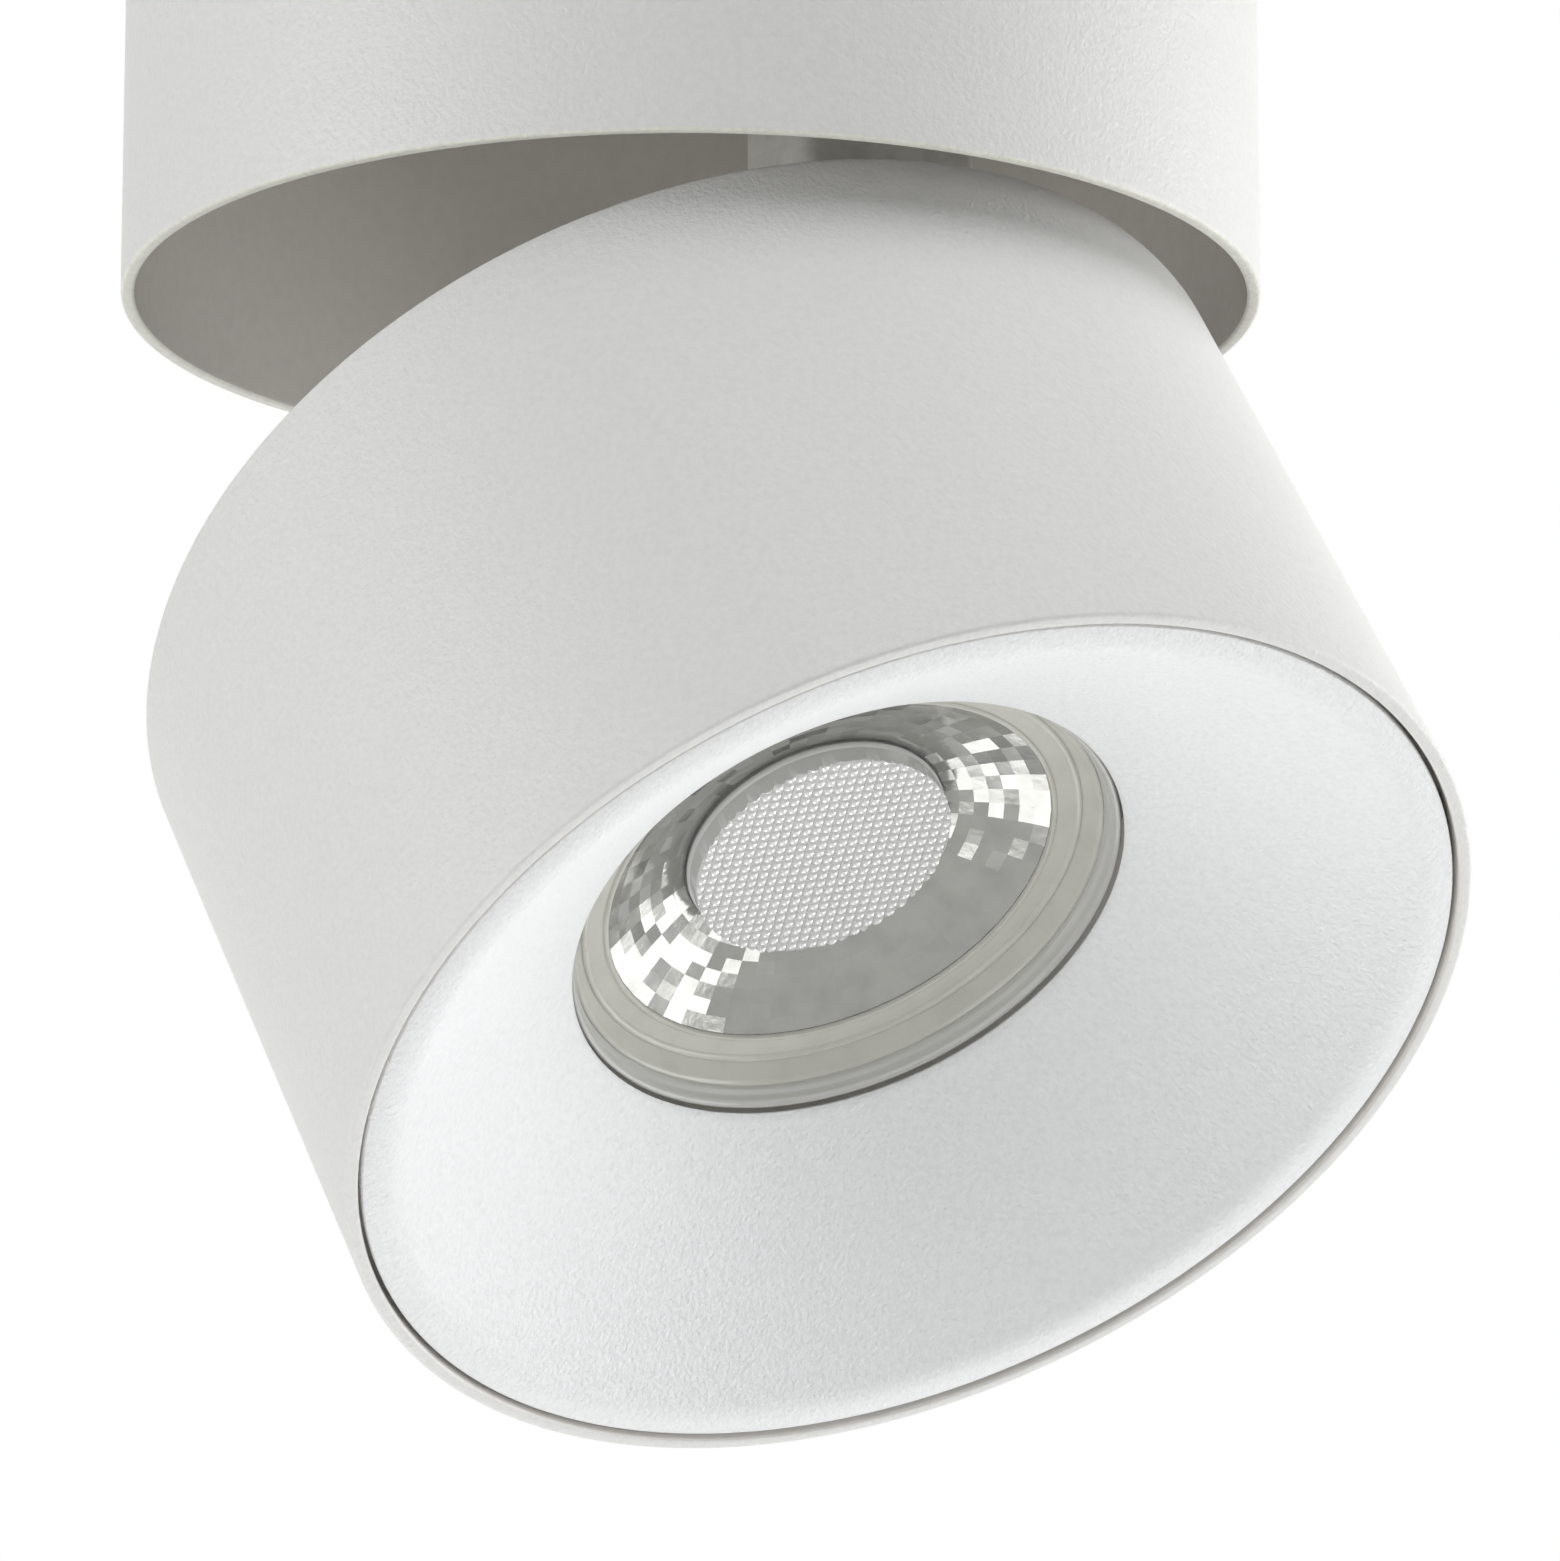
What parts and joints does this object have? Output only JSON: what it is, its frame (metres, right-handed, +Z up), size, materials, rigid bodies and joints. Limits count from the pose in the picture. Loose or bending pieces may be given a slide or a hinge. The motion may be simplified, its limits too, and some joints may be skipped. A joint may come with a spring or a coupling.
{
  "type": "ceiling spotlight",
  "caption": "Round surface-mounted ceiling spotlight: a shell on the ceiling and a head of the same diameter that turns and tilts on a hidden arm, with a white cone round its lamp.",
  "frame": {"origin": "centre of the ceiling face, on the axis about which the arm turns", "axes": "+Z up into the ceiling, +X along the ceiling bracket and the hinge, -Y towards the side the head leans to"},
  "size_m": [0.1, 0.1229, 0.1597],
  "materials": {
    "powder_coat": "satin",
    "cone_white": "matte",
    "galvanised": "satin",
    "zinc_screw": "satin",
    "black_screw": "satin",
    "brass": "satin",
    "nylon": "matte",
    "rubber": "matte",
    "ceramic": "matte",
    "block_plastic": "satin",
    "lead_insulation": "satin",
    "earth_insulation": "satin",
    "sleeve": "matte",
    "spring_steel": "satin",
    "bronze": "satin",
    "lamp_glass": "gloss",
    "lamp_silver": "polished",
    "lamp_clear": "gloss",
    "lamp_ring": "satin",
    "board_white": "satin",
    "phosphor": "matte",
    "board_green": "satin",
    "lamp_base": "gloss",
    "nickel": "satin"
  },
  "bodies": {
    "base": {"ceiling_bracket": "galvanised", "cable_grommet": "rubber", "upper_shell": "powder_coat", "side_screws": "black_screw", "deck_plate": "galvanised", "deck_screws": "zinc_screw", "stop_pin": "zinc_screw", "terminal_block": "block_plastic", "terminal_inserts": "brass", "clamp_screws": "zinc_screw", "block_screws": "zinc_screw", "feed_leads": "lead_insulation", "earth_lead": "earth_insulation", "earth_screw": "brass"},
    "swivel": {"swivel_nipple": "brass", "nipple_nuts": "brass", "stop_washer": "zinc_screw", "disc_spring": "spring_steel", "slide_washer": "nylon", "swivel_arm": "galvanised", "hinge_bushes": "nylon"},
    "head": {"head_shell": "powder_coat", "hinge_bolt": "zinc_screw", "hinge_nut": "zinc_screw", "hinge_washers": "zinc_screw", "holder_bracket": "galvanised", "bracket_screws": "zinc_screw", "lamp_holder": "ceramic", "holder_contacts": "bronze", "holder_screws": "zinc_screw", "lamp_leads": "sleeve"},
    "cone": {"front_cone": "cone_white", "cone_springs": "spring_steel", "spring_rivets": "zinc_screw"},
    "lamp": {"lamp_glass": "lamp_glass", "lamp_reflector": "lamp_silver", "lamp_lens": "lamp_clear", "lamp_ring": "lamp_ring", "led_board": "board_white", "led_chip": "phosphor", "driver_board": "board_green", "lamp_base": "lamp_base", "lamp_pins": "nickel"}
  },
  "joints": [
    {"name": "pan", "type": "hinge", "parent": "base", "child": "swivel", "pos_m": [0, 0, -0.03], "axis": [0, 0, 1], "range_deg": [-170, 170]},
    {"name": "tilt", "type": "hinge", "parent": "swivel", "child": "head", "pos_m": [0, -0.0414, -0.0724], "axis": [-1, 0, 0], "range_deg": [-33.7, 56.3], "deforming": ["lamp_leads"]},
    {"name": "cone_pull", "type": "slide", "parent": "head", "child": "cone", "axis": [0, -0.5548, -0.832], "range_m": [0, 0.03]},
    {"name": "lamp_twist", "type": "hinge", "parent": "head", "child": "lamp", "pos_m": [0, -0.00074, -0.08605], "axis": [0, 0.5548, 0.832], "range_deg": [0, 40]}
  ]
}
